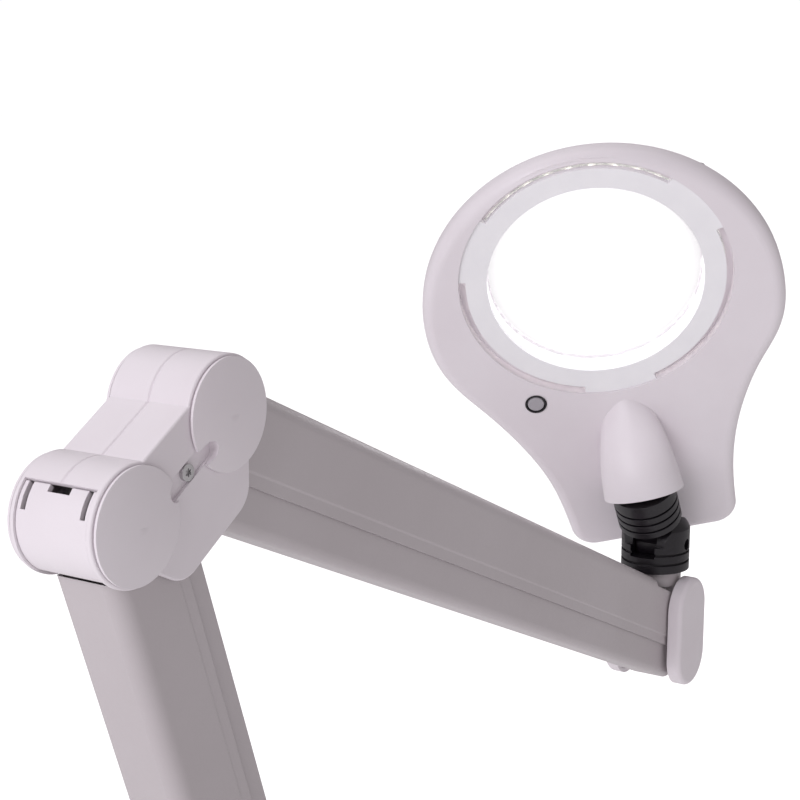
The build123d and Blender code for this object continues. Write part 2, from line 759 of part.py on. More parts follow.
with BuildPart() as swivel_fork:
    with BuildSketch(Plane.XY.offset(fork_bottom)):
        with Locations((tilt_point[0], 0)):
            Circle(fork_radius)
    extrude(amount=tilt_point[1] + ear_radius - fork_bottom)
    with BuildSketch(fork_plane):
        Circle(ear_radius)
        with Locations((0, -fork_radius)):
            Rectangle(2 * fork_radius, 2 * fork_radius)
    extrude(amount=fork_radius, both=True, mode=Mode.INTERSECT)
    with BuildSketch(Plane(origin=(tilt_point[0], 0, tilt_point[1]), x_dir=(1, 0, 0), z_dir=(0, -1, 0))):
        with BuildLine():
            Line((0, -fork_radius), (0, ear_crown))
            ThreePointArc(
                (0, ear_crown),
                (ear_crown * math.sin(math.radians(45)), ear_crown * math.cos(math.radians(45))),
                (ear_crown, 0),
            )
            Line((ear_crown, 0), (ear_crown, -fork_radius))
            Line((ear_crown, -fork_radius), (0, -fork_radius))
        make_face()
    revolve(axis=Axis((tilt_point[0], 0, 0), (0, 0, 1)), mode=Mode.INTERSECT)
    for height in (5.0, 11.0):
        with BuildSketch(Plane.XY.offset(fork_bottom + height)):
            with Locations((tilt_point[0], 0)):
                Circle(fork_radius + 1)
                Circle(fork_radius - groove_depth, mode=Mode.SUBTRACT)
        extrude(amount=groove_width, mode=Mode.SUBTRACT)
    with BuildSketch(fork_plane):
        Circle(tongue_radius + 0.5)
        with Locations((0, fork_radius - slot_floor)):
            Rectangle(3 * fork_radius, 2 * fork_radius)
    extrude(amount=fork_slot, both=True, mode=Mode.SUBTRACT)
    with BuildSketch(fork_plane):
        Circle(tilt_pin_radius)
    extrude(amount=fork_radius, both=True, mode=Mode.SUBTRACT)
    with BuildSketch(Plane.XY.offset(fork_bottom)):
        with Locations((tilt_point[0], 0)):
            Circle(pin_radius + running_clearance)
    extrude(amount=4.2, mode=Mode.SUBTRACT)
finish(swivel_fork, "swivel_fork")

twist = math.radians(head_twist)
lean = math.radians(head_tilt)
head_up = Vector(-math.sin(lean), 0, math.cos(lean))
head_front = Vector(-math.cos(lean) * math.cos(twist), -math.sin(twist), -math.sin(lean) * math.cos(twist))
head_side = head_up.cross(head_front)
tilt_centre = Vector(tilt_point[0], 0, tilt_point[1])
lens_centre = tilt_centre + head_up * head_reach - head_front * head_offset
head_plane = Plane(origin=lens_centre, x_dir=head_side, z_dir=head_front)
head_axis = Axis(lens_centre, head_front)


def neck_plane(distance):
    """A plane square to the head's long axis, at a distance from the tilt axis; its y faces forward."""
    return Plane(origin=tilt_centre + head_up * distance, x_dir=-head_side, z_dir=head_up)


collar_start = 19.0
collar_end = 44.0
collar_radius = 19.5
stem_end = 59.0
stem_radius = 7.0

with BuildPart() as tilt_tongue:
    with BuildSketch(fork_plane):
        Circle(tongue_radius)
    extrude(amount=fork_slot - 0.3, both=True)
    with BuildSketch(Plane(origin=tilt_centre, x_dir=(0, 1, 0), z_dir=head_up)):
        Rectangle(2 * (fork_slot - 0.3), 2 * tongue_radius - 4)
    extrude(amount=collar_start)
    with BuildSketch(neck_plane(collar_start)):
        Circle(collar_radius)
    extrude(amount=collar_end - collar_start)
    for distance in (collar_start + 4.0, collar_start + 9.6, collar_start + 15.2):
        with BuildSketch(neck_plane(distance)):
            Circle(collar_radius + 1)
            Circle(collar_radius - groove_depth, mode=Mode.SUBTRACT)
        extrude(amount=groove_width, mode=Mode.SUBTRACT)
    with BuildSketch(neck_plane(collar_end)):
        Circle(stem_radius)
    extrude(amount=stem_end - collar_end)
    with BuildSketch(fork_plane):
        Circle(tilt_pin_radius + running_clearance)
    extrude(amount=fork_slot, both=True, mode=Mode.SUBTRACT)
finish(tilt_tongue, "tilt_tongue")

with BuildPart() as tilt_pin:
    with BuildSketch(fork_plane):
        Circle(tilt_pin_radius)
    extrude(amount=fork_radius - 4.5, both=True)
finish(tilt_pin, "tilt_pin")

with BuildPart() as stem_clip:
    with BuildSketch(neck_plane(stem_end)):
        Circle(9.0)
    extrude(amount=2.0)
finish(stem_clip, "stem_clip")

# ---- lens head ---------------------------------------------------------------------------------
neck_half = 53.0
neck_end = -199.0
neck_corner = 15.0
boss_reach = head_reach - 27.5    # open end of the joint boss, below the lens centre
boss_wall = 2.4
mouth_front = 126.0               # the boss is cut back to here at its crown
mouth_height = 50.0
button_place = (-52.0, -76.0)
button_radius = 5.6
button_hole = 6.5
button_travel = 1.5


def head_outline(shrink):
    """Front view of the head: a round end that draws in to a neck."""
    round_y = head_round_centre
    radius = head_radius - shrink
    half = neck_half - shrink
    low = neck_end + shrink
    corner = neck_corner - min(shrink, neck_corner - 4)
    with BuildLine() as outline:
        ThreePointArc((radius, round_y), (0, round_y + radius), (-radius, round_y))
        Spline((-radius, round_y), (-84 + shrink, -80), (-63 + shrink, -125), (-half, low + corner),
               tangents=((0, -1), (0.06, -1)))
        RadiusArc((-half, low + corner), (-half + corner, low), -corner)
        Line((-half + corner, low), (half - corner, low))
        RadiusArc((half - corner, low), (half, low + corner), -corner)
        Spline((half, low + corner), (63 - shrink, -125), (84 - shrink, -80), (radius, round_y),
               tangents=((0.06, 1), (0, 1)))
    make_face(outline.edges())


def boss_hump(shrink):
    """Solid of the hump that takes the joint: round sections that sink into the face."""
    sections = (
        (boss_reach, 25.5, 24.0), (121.0, 22.5, 18.5), (105.0, 18.5, 7.0), (93.0, 12.5, -5.0), (84.0, 8.0, -9.0),
    )
    with BuildPart() as hump:
        for place, radius, height in sections:
            centre = lens_centre - head_up * place + head_front * height
            with BuildSketch(Plane(origin=centre, x_dir=-head_side, z_dir=head_up)):
                Circle(radius - shrink)
        loft()
        with BuildSketch(Plane(origin=lens_centre, x_dir=-head_up, z_dir=-head_side)):
            with BuildLine():
                Polyline(
                    (boss_reach, 2), (mouth_front, mouth_height), (mouth_front, 2 * mouth_height),
                    (2 * boss_reach, 2 * mouth_height), (2 * boss_reach, 2), close=True,
                )
            make_face()
        extrude(amount=60, both=True, mode=Mode.SUBTRACT)
    return hump.part


boss_solid = boss_hump(0)
boss_hollow = boss_hump(boss_wall)
ring_wall = 2.4
shelf_reach = 74.6            # ledge inside the opening, over the lamp board
shelf_top = -7.0
shelf_bottom = -9.0
screw_places = ((-92, -40), (92, -40), (-70, 48), (70, 48), (-38, -180), (38, -180))
post_size = 4.0

with BuildPart() as head_face_shell:
    with BuildSketch(head_plane):
        head_outline(0)
    extrude(amount=-face_depth)
    fillet(head_face_shell.faces().sort_by(head_axis)[-1].edges(), 7.0)
    add(boss_solid)
    with BuildSketch(head_plane.offset(-face_depth - 40)):
        Rectangle(400, 600)
    extrude(amount=40, mode=Mode.SUBTRACT)
    with BuildSketch(head_plane.offset(-head_wall)):
        head_outline(head_wall)
    extrude(amount=-face_depth, mode=Mode.SUBTRACT)
    add(boss_hollow, mode=Mode.SUBTRACT)
    with BuildSketch(head_plane.offset(-face_depth)):
        Circle(ring_radius + ring_wall)
    extrude(amount=face_depth - 1)
    with BuildSketch(head_plane.offset(-face_depth)):
        with Locations(*screw_places):
            Circle(post_size)
    extrude(amount=face_depth - head_wall)
    with BuildSketch(head_plane):
        Circle(ring_radius)
    extrude(amount=-face_depth, mode=Mode.SUBTRACT)
    with BuildSketch(head_plane.offset(shelf_bottom)):
        Circle(ring_radius + ring_wall / 2)
        Circle(shelf_reach, mode=Mode.SUBTRACT)
    extrude(amount=shelf_top - shelf_bottom)
    with BuildSketch(head_plane):
        with Locations(button_place):
            Circle(button_hole)
    extrude(amount=-head_wall, mode=Mode.SUBTRACT)
finish(head_face_shell, "head_face_shell")

lens_edge = 3.4
lens_gap = 0.4                # play between the lens and the ring that holds it
front_rise = 5.6
back_rise = 2.2
lens_back = -head_depth + head_wall
lens_front = lens_back + lens_edge
back_reach = lens_radius - 2.6
driver_place = (0, -101)
driver_posts = ((-26, -101), (26, -101))
driver_height = -14.1
button_height = -6.0          # underside of the power button
switch_height = button_height - button_travel - 5

with BuildPart() as head_back_shell:
    with BuildSketch(head_plane.offset(-head_depth)):
        head_outline(0)
    extrude(amount=head_depth - face_depth)
    fillet(head_back_shell.faces().sort_by(head_axis)[0].edges(), 9.0)
    with BuildSketch(head_plane.offset(-head_depth + head_wall)):
        head_outline(head_wall + 1.6)
    extrude(amount=head_depth - face_depth - head_wall, mode=Mode.SUBTRACT)
    with BuildSketch(head_plane.offset(-head_depth + head_wall)):
        Circle(lens_radius + 2.6)
    extrude(amount=lens_edge + lens_gap)
    with BuildSketch(head_plane.offset(-head_depth)):
        Circle(lens_radius - 2.5)
    extrude(amount=head_depth, mode=Mode.SUBTRACT)
    with BuildSketch(head_plane.offset(-head_depth + head_wall)):
        Circle(lens_radius + 0.1)
    extrude(amount=lens_edge + lens_gap, mode=Mode.SUBTRACT)
    with BuildSketch(head_plane.offset(-head_depth + head_wall)):
        with Locations(*screw_places):
            Circle(post_size)
    extrude(amount=head_depth - head_wall - face_depth)
    with BuildSketch(head_plane.offset(-head_depth + head_wall)):
        with Locations(*driver_posts):
            Circle(3)
    extrude(amount=driver_height - lens_back)
    with BuildSketch(head_plane.offset(-head_depth + head_wall)):
        with Locations(button_place):
            Circle(5)
    extrude(amount=switch_height - lens_back)
finish(head_back_shell, "head_back_shell")

with BuildPart() as lens:
    with BuildSketch(Plane(origin=lens_centre, x_dir=head_side, z_dir=-head_up)):
        with BuildLine():
            Line((0, lens_back - back_rise), (0, lens_front + front_rise))
            ThreePointArc(
                (0, lens_front + front_rise),
                (lens_radius / 2, lens_front + front_rise - crown_drop(lens_radius, front_rise, lens_radius / 2)),
                (lens_radius, lens_front),
            )
            Line((lens_radius, lens_front), (lens_radius, lens_back))
            Line((lens_radius, lens_back), (back_reach, lens_back))
            ThreePointArc(
                (back_reach, lens_back),
                (back_reach / 2, lens_back - back_rise + crown_drop(back_reach, back_rise, back_reach / 2)),
                (0, lens_back - back_rise),
            )
        make_face()
    revolve(axis=head_axis)
finish(lens, "lens")

board_top = shelf_bottom
with BuildPart() as led_board:
    with BuildSketch(head_plane.offset(board_top - 1.6)):
        Circle(ring_radius - 0.6)
        Circle(lens_radius + 3.6, mode=Mode.SUBTRACT)
    extrude(amount=1.6)
finish(led_board, "led_board")

led_count = 36
led_circle = 70.6
with BuildPart() as led_chips:
    with BuildSketch(head_plane.offset(board_top)):
        with PolarLocations(led_circle, led_count):
            Rectangle(3.0, 3.0)
    extrude(amount=0.8)
finish(led_chips, "led_chips")

ring_top = -1.2
ring_thickness = 3.8
with BuildPart() as light_guide:
    with BuildSketch(head_plane.offset(lens_front + lens_gap)):
        Circle(lens_radius + 2.6)
        Circle(lens_radius - 1.4, mode=Mode.SUBTRACT)
    extrude(amount=ring_top - ring_thickness - lens_front - lens_gap)
finish(light_guide, "light_guide")

ring_gap = 4.2
tab_angle = 32.0
tab_middles = (30, 150, 270)
with BuildPart() as lens_ring:
    with BuildSketch(head_plane.offset(ring_top - ring_thickness)):
        Circle(ring_radius - ring_gap)
        Circle(lens_radius - 1.4, mode=Mode.SUBTRACT)
    extrude(amount=ring_thickness)
    for middle in tab_middles:
        with BuildSketch(head_plane.offset(ring_top - ring_thickness)):
            with BuildLine() as sides:
                CenterArc((0, 0), ring_radius - 0.1, middle - tab_angle / 2, tab_angle)
                CenterArc((0, 0), ring_radius - ring_gap - 1, middle - tab_angle / 2, tab_angle)
                Line(sides.edges()[0] @ 0, sides.edges()[1] @ 0)
                Line(sides.edges()[0] @ 1, sides.edges()[1] @ 1)
            make_face(sides.edges())
        extrude(amount=ring_thickness)
finish(lens_ring, "lens_ring")

with BuildPart() as power_button:
    with BuildSketch(head_plane.offset(button_height)):
        with Locations(button_place):
            Circle(button_radius - 0.6)
    extrude(amount=0.6 - button_height)
    fillet(power_button.edges().sort_by(head_axis)[-1], 0.8)
finish(power_button, "power_button")

with BuildPart() as button_bezel:
    with BuildSketch(head_plane.offset(-head_wall)):
        with Locations(button_place):
            Circle(button_hole)
            Circle(button_radius, mode=Mode.SUBTRACT)
    extrude(amount=head_wall + 0.5)
finish(button_bezel, "button_bezel")

with BuildPart() as button_switch:
    with BuildSketch(head_plane.offset(switch_height)):
        with Locations(button_place):
            Rectangle(11, 11)
    extrude(amount=4.8)
finish(button_switch, "button_switch")

with BuildPart() as driver_board:
    with BuildSketch(head_plane.offset(driver_height)):
        with Locations(driver_place):
            Rectangle(64, 26)
    extrude(amount=1.6)
finish(driver_board, "driver_board")

bearing_start = collar_end + 3.0
bulkhead_thickness = 4.0
with BuildPart() as stem_bearing:
    with BuildSketch(neck_plane(bearing_start + bulkhead_thickness)):
        Circle(26)
    extrude(amount=-bulkhead_thickness)
    add(boss_hollow, mode=Mode.INTERSECT)
    with BuildSketch(neck_plane(bearing_start)):
        Circle(10)
    extrude(amount=stem_end - bearing_start - 0.3)
    with BuildSketch(neck_plane(bearing_start)):
        Circle(stem_radius + running_clearance)
    extrude(amount=stem_end - bearing_start, mode=Mode.SUBTRACT)
finish(stem_bearing, "stem_bearing")

with BuildPart() as head_screws:
    for place in screw_places:
        with BuildSketch(head_plane.offset(-head_depth)):
            with Locations(place):
                Circle(3.2)
        extrude(amount=-0.8)
finish(head_screws, "head_screws")
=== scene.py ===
import json
import math
import bpy
import bmesh
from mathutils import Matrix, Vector


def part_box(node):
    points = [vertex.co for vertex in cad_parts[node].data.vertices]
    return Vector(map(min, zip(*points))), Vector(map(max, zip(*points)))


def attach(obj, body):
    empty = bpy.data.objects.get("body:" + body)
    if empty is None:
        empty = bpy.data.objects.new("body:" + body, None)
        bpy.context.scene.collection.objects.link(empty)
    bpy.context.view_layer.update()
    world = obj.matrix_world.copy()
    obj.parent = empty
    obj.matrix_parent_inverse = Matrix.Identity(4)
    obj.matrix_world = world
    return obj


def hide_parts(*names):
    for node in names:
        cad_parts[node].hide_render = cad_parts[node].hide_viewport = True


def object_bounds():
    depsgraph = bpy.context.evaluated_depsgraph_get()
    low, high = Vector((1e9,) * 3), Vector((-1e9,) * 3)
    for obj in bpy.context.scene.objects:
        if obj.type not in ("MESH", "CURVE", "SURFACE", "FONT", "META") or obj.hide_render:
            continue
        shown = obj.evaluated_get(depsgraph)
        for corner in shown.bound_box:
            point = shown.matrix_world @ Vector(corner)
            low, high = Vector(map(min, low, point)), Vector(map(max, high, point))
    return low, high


# Looks for the bench magnifier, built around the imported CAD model. Everything is in metres.
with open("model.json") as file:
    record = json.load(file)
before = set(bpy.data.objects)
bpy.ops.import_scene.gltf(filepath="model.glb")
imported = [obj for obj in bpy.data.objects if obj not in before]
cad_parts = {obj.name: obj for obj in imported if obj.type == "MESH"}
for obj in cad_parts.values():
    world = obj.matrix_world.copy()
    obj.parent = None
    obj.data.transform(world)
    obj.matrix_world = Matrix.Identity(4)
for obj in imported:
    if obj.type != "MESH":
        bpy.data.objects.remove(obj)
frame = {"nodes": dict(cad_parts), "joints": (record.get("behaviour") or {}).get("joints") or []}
cad_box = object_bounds()
nodes = frame["nodes"]
joint_point = {j["name"]: Vector(j["pos_m"]) for j in frame["joints"] if "pos_m" in j}
slot_of_node = {name: part.data.materials[0].name.split(".")[0] for name, part in nodes.items()}

# ---- camera: three quarter view from behind the elbow, past it to the head -----------------------
CAMERA_PLACE = Vector((-0.5808, -0.3995, 0.6747))
CAMERA_FORWARD = Vector((0.8254, 0.5320, -0.1891)).normalized()
CAMERA_LENS = 73.6
SENSOR = 36.0
CLIP_START = 0.02
CLIP_END = 200.0

# ---- colours, linear -----------------------------------------------------------------------------
SHELL_PALE = (0.880, 0.832, 0.872, 1)
SHELL_SHADE = (0.825, 0.766, 0.806, 1)
SHELL_WORN = (0.90, 0.87, 0.89, 1)
PAINT_PALE = (0.585, 0.540, 0.558, 1)
PAINT_SHADE = (0.535, 0.490, 0.505, 1)
PAINT_WORN = (0.76, 0.72, 0.74, 1)
BLACK_DEEP = (0.006, 0.004, 0.007, 1)
BLACK_DUSTY = (0.022, 0.018, 0.024, 1)
STEEL_BRIGHT = (0.62, 0.61, 0.62, 1)
STEEL_DULL = (0.42, 0.41, 0.41, 1)
STEEL_EDGE = (0.78, 0.78, 0.79, 1)
WIRE_BRIGHT = (0.34, 0.34, 0.36, 1)
WIRE_DULL = (0.22, 0.21, 0.21, 1)
BUTTON_PALE = (0.46, 0.44, 0.47, 1)
BUTTON_SHADE = (0.40, 0.38, 0.41, 1)
BLACK_SCUFFED = (0.06, 0.055, 0.065, 1)
RUBBER_DARK = (0.016, 0.016, 0.016, 1)
RUBBER_RUBBED = (0.06, 0.058, 0.055, 1)

# ---- sizes of the rounding that light shows on edges ---------------------------------------------
SHELL_ROUNDING = 0.0004
PAINT_ROUNDING = 0.0005
STEEL_ROUNDING = 0.0003


# ---- glare in the lens ---------------------------------------------------------------------------
LENS_RADIUS = 0.0635
GLARE_CORE = 0.030            # radius inside which the glare is full
GLARE_MIDDLE = 0.75
GLARE_RIM = 0.12

# ---- strength of the lit parts -------------------------------------------------------------------
GUIDE_GLOW = 0.5
RING_GLOW = 0.06
LED_GLOW = 3.0


# ---- node helpers --------------------------------------------------------------------------------
def start_material(name):
    """An empty node material, with its tree, shader and the coordinates of the piece it is on."""
    material = bpy.data.materials.new(name)
    material.use_nodes = True
    tree = material.node_tree
    tree.nodes.clear()
    output = tree.nodes.new("ShaderNodeOutputMaterial")
    shader = tree.nodes.new("ShaderNodeBsdfPrincipled")
    tree.links.new(shader.outputs["BSDF"], output.inputs["Surface"])
    place = tree.nodes.new("ShaderNodeTexCoord").outputs["Object"]
    return material, tree, shader, place


def noise(tree, place, scale, detail=3.0, roughness=0.55, distortion=0.0):
    node = tree.nodes.new("ShaderNodeTexNoise")
    node.inputs["Scale"].default_value = scale
    node.inputs["Detail"].default_value = detail
    node.inputs["Roughness"].default_value = roughness
    node.inputs["Distortion"].default_value = distortion
    tree.links.new(place, node.inputs["Vector"])
    return node.outputs["Fac"]


def remap(tree, value, low, high, to_low, to_high):
    node = tree.nodes.new("ShaderNodeMapRange")
    node.inputs["From Min"].default_value = low
    node.inputs["From Max"].default_value = high
    node.inputs["To Min"].default_value = to_low
    node.inputs["To Max"].default_value = to_high
    tree.links.new(value, node.inputs["Value"])
    return node.outputs["Result"]


def arithmetic(tree, operation, first, second):
    node = tree.nodes.new("ShaderNodeMath")
    node.operation = operation
    node.use_clamp = True
    for socket, value in zip(node.inputs, (first, second)):
        if isinstance(value, (int, float)):
            socket.default_value = value
        else:
            tree.links.new(value, socket)
    return node.outputs["Value"]


def mix(tree, factor, first, second):
    """Blend of two colours, each a colour or a link."""
    node = tree.nodes.new("ShaderNodeMix")
    node.data_type = "RGBA"
    tree.links.new(factor, node.inputs[0])
    for socket, value in ((node.inputs[6], first), (node.inputs[7], second)):
        if isinstance(value, tuple):
            socket.default_value = value
        else:
            tree.links.new(value, socket)
    return node.outputs[2]


def stretched(tree, place, scale):
    node = tree.nodes.new("ShaderNodeMapping")
    node.inputs["Scale"].default_value = scale
    tree.links.new(place, node.inputs["Vector"])
    return node.outputs["Vector"]


def soft_edge(tree, radius):
    """Normal rounded over edges, and a mask that is 1 on those edges."""
    bevel = tree.nodes.new("ShaderNodeBevel")
    bevel.samples = 6
    bevel.inputs["Radius"].default_value = radius
    surface = tree.nodes.new("ShaderNodeNewGeometry")
    compare = tree.nodes.new("ShaderNodeVectorMath")
    compare.operation = "DOT_PRODUCT"
    tree.links.new(bevel.outputs["Normal"], compare.inputs[0])
    tree.links.new(surface.outputs["Normal"], compare.inputs[1])
    mask = remap(tree, compare.outputs["Value"], 0.80, 0.995, 1.0, 0.0)
    return bevel.outputs["Normal"], mask


def bump(tree, height, strength, distance, normal=None):
    node = tree.nodes.new("ShaderNodeBump")
    node.inputs["Strength"].default_value = strength
    node.inputs["Distance"].default_value = distance
    tree.links.new(height, node.inputs["Height"])
    if normal is not None:
        tree.links.new(normal, node.inputs["Normal"])
    return node.outputs["Normal"]


def set_shader(tree, shader, colour, rough, normal):
    for name, value in (("Base Color", colour), ("Roughness", rough), ("Normal", normal)):
        tree.links.new(value, shader.inputs[name])


# ---- materials -----------------------------------------------------------------------------------
def moulded_plastic(name, pale, shade, worn, low, high):
    """Satin moulded plastic: spark eroded grain, faint clouding, edges rubbed a little lighter."""
    material, tree, shader, place = start_material(name)
    clouds = noise(tree, place, 11.0, 4.0, 0.6)
    patches = noise(tree, place, 70.0, 3.0, 0.6)
    grain = noise(tree, place, 2400.0, 2.0, 0.6)
    normal, edges = soft_edge(tree, SHELL_ROUNDING)
    rubbed = arithmetic(tree, "MULTIPLY", edges, remap(tree, patches, 0.42, 0.62, 0.15, 0.8))
    colour = mix(tree, remap(tree, clouds, 0.3, 0.7, 0.0, 1.0), pale, shade)
    pits = arithmetic(tree, "MULTIPLY", remap(tree, grain, 0.3, 0.7, 0.0, 1.0), 0.35)
    colour = mix(tree, pits, colour, shade)
    colour = mix(tree, rubbed, colour, worn)
    uneven = arithmetic(tree, "ADD", patches, remap(tree, grain, 0.3, 0.7, -0.15, 0.15))
    rough = remap(tree, uneven, 0.3, 0.75, low, high)
    normal = bump(tree, clouds, 0.10, 0.0006, normal)
    set_shader(tree, shader, colour, rough, bump(tree, grain, 0.16, 0.00006, normal))
    return material


def powder_coat(name, pale, shade, worn, low, high):
    """Baked powder paint: orange peel, fine speckle, chipped bright at the sharpest edges."""
    material, tree, shader, place = start_material(name)
    clouds = noise(tree, place, 8.0, 4.0, 0.6)
    peel = noise(tree, place, 620.0, 1.5, 0.5, 0.3)
    speckle = noise(tree, place, 3200.0, 2.0, 0.6)
    chipping = noise(tree, place, 160.0, 4.0, 0.7)
    normal, edges = soft_edge(tree, PAINT_ROUNDING)
    chips = arithmetic(tree, "MULTIPLY", edges, remap(tree, chipping, 0.45, 0.6, 0.1, 0.9))
    colour = mix(tree, remap(tree, clouds, 0.3, 0.7, 0.0, 1.0), pale, shade)
    dots = arithmetic(tree, "MULTIPLY", remap(tree, speckle, 0.35, 0.7, 0.0, 1.0), 0.4)
    colour = mix(tree, dots, colour, shade)
    colour = mix(tree, chips, colour, worn)
    rough = remap(tree, peel, 0.3, 0.7, low, high)
    normal = bump(tree, peel, 0.22, 0.00012, normal)
    set_shader(tree, shader, colour, rough, bump(tree, speckle, 0.10, 0.00004, normal))
    return material


def black_plastic(name):
    """Black nylon of the head joint, satin, with dust in its grooves and scuffs on its ribs."""
    material, tree, shader, place = start_material(name)
    scuffs = noise(tree, stretched(tree, place, (1.0, 1.0, 4.0)), 220.0, 5.0, 0.7)
    grain = noise(tree, place, 1800.0, 2.0, 0.6)
    normal, edges = soft_edge(tree, PAINT_ROUNDING)
    dust = arithmetic(tree, "MULTIPLY", remap(tree, scuffs, 0.45, 0.75, 0.0, 1.0), 0.6)
    colour = mix(tree, dust, BLACK_DEEP, BLACK_DUSTY)
    colour = mix(tree, arithmetic(tree, "MULTIPLY", edges, 0.5), colour, BLACK_SCUFFED)
    rough = remap(tree, scuffs, 0.3, 0.7, 0.34, 0.52)
    set_shader(tree, shader, colour, rough, bump(tree, grain, 0.2, 0.00006, normal))
    return material


def brushed_metal(name, bright, dull, stretch, low, high):
    """Plated or drawn steel, with fine lines across the stretch direction and dull patches."""
    material, tree, shader, place = start_material(name)
    lines = noise(tree, stretched(tree, place, stretch), 900.0, 3.0, 0.65)
    patches = noise(tree, place, 90.0, 4.0, 0.6)
    normal, edges = soft_edge(tree, STEEL_ROUNDING)
    colour = mix(tree, remap(tree, patches, 0.35, 0.7, 0.0, 1.0), bright, dull)
    colour = mix(tree, arithmetic(tree, "MULTIPLY", edges, 0.6), colour, STEEL_EDGE)
    rough = remap(tree, lines, 0.3, 0.7, low, high)
    shader.inputs["Metallic"].default_value = 1.0
    set_shader(tree, shader, colour, rough, bump(tree, lines, 0.12, 0.00005, normal))
    return material


def bush_plastic(name):
    """Natural acetal, slightly waxy."""
    material, tree, shader, place = start_material(name)
    clouds = noise(tree, place, 120.0, 3.0)
    grain = noise(tree, place, 2200.0, 2.0)
    colour = mix(tree, clouds, (0.80, 0.78, 0.71, 1), (0.72, 0.69, 0.62, 1))
    shader.inputs["Subsurface Weight"].default_value = 0.1
    shader.inputs["Subsurface Radius"].default_value = (0.002, 0.0018, 0.0014)
    rough = remap(tree, clouds, 0.3, 0.7, 0.3, 0.42)
    set_shader(tree, shader, colour, rough, bump(tree, grain, 0.1, 0.00005))
    return material


def pad_rubber(name):
    """Black rubber with a fine mould texture and pale rub marks."""
    material, tree, shader, place = start_material(name)
    marks = noise(tree, place, 180.0, 5.0, 0.7)
    grain = noise(tree, place, 1500.0, 3.0)
    colour = mix(tree, remap(tree, marks, 0.45, 0.75, 0.0, 1.0), RUBBER_DARK, RUBBER_RUBBED)
    rough = remap(tree, grain, 0.3, 0.7, 0.72, 0.9)
    set_shader(tree, shader, colour, rough, bump(tree, grain, 0.5, 0.00015))
    return material


def from_lens_axis(tree, place):
    """Distance from the lens axis, in metres."""
    low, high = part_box("lens")
    shift = tree.nodes.new("ShaderNodeVectorMath")
    shift.operation = "SUBTRACT"
    shift.inputs[1].default_value = (low + high) / 2
    tree.links.new(place, shift.inputs[0])
    across = tree.nodes.new("ShaderNodeVectorMath")
    across.operation = "CROSS_PRODUCT"
    across.inputs[1].default_value = lens_axis()
    tree.links.new(shift.outputs["Vector"], across.inputs[0])
    length = tree.nodes.new("ShaderNodeVectorMath")
    length.operation = "LENGTH"
    tree.links.new(across.outputs["Vector"], length.inputs[0])
    return length.outputs["Value"]


def lens_glass(name):
    """Polished crown glass with faint smears, and the glare of the lamp ring, strongest in its middle."""
    material, tree, shader, place = start_material(name)
    smears = noise(tree, stretched(tree, place, (1.0, 2.6, 1.0)), 38.0, 5.0, 0.7, 0.6)
    ripple = noise(tree, place, 30.0, 2.0)
    radius = from_lens_axis(tree, place)
    tint = mix(tree, smears, (1.0, 1.0, 1.0, 1), (0.975, 0.985, 0.985, 1))
    shader.inputs["Transmission Weight"].default_value = 1.0
    shader.inputs["IOR"].default_value = 1.52
    shader.inputs["Emission Color"].default_value = (1.0, 0.985, 1.0, 1)
    glare = remap(tree, radius, GLARE_CORE, LENS_RADIUS, GLARE_MIDDLE, GLARE_RIM)
    tree.links.new(glare, shader.inputs["Emission Strength"])
    rough = remap(tree, smears, 0.4, 0.8, 0.0, 0.05)
    set_shader(tree, shader, tint, rough, bump(tree, ripple, 0.02, 0.0001))
    return material


def opal_diffuser(name, strength):
    """Opal acrylic with light behind it."""
    material, tree, shader, place = start_material(name)
    clouds = noise(tree, place, 60.0, 4.0)
    grain = noise(tree, place, 1600.0, 2.0)
    colour = mix(tree, clouds, (0.90, 0.89, 0.91, 1), (0.84, 0.83, 0.86, 1))
    shader.inputs["Emission Color"].default_value = (1.0, 0.975, 1.0, 1)
    glow = remap(tree, clouds, 0.3, 0.7, strength * 1.06, strength * 0.94)
    tree.links.new(glow, shader.inputs["Emission Strength"])
    rough = remap(tree, grain, 0.3, 0.7, 0.38, 0.5)
    set_shader(tree, shader, colour, rough, bump(tree, grain, 0.12, 0.00005))
    return material


def board_mask(name):
    """White solder mask, with the print of the tracks under it."""
    material, tree, shader, place = start_material(name)
    tracks = tree.nodes.new("ShaderNodeTexVoronoi")
    tracks.feature = "DISTANCE_TO_EDGE"
    tracks.inputs["Scale"].default_value = 170.0
    tree.links.new(place, tracks.inputs["Vector"])
    edge = remap(tree, tracks.outputs["Distance"], 0.02, 0.08, 1.0, 0.0)
    grain = noise(tree, place, 1400.0, 2.0)
    colour = mix(tree, edge, (0.82, 0.84, 0.82, 1), (0.70, 0.74, 0.70, 1))
    rough = remap(tree, grain, 0.3, 0.7, 0.28, 0.4)
    set_shader(tree, shader, colour, rough, bump(tree, edge, 0.2, 0.00006))
    return material


def led_phosphor(name, strength):
    """Lit phosphor in its pale package."""
    material, tree, shader, place = start_material(name)
    dots = noise(tree, place, 900.0, 2.0)
    colour = mix(tree, dots, (0.95, 0.88, 0.55, 1), (0.95, 0.93, 0.80, 1))
    shader.inputs["Emission Color"].default_value = (1.0, 0.96, 0.90, 1)
    glow = remap(tree, dots, 0.3, 0.7, strength * 0.9, strength * 1.1)
    tree.links.new(glow, shader.inputs["Emission Strength"])
    rough = remap(tree, dots, 0.3, 0.7, 0.3, 0.5)
    set_shader(tree, shader, colour, rough, bump(tree, dots, 0.1, 0.00005))
    return material


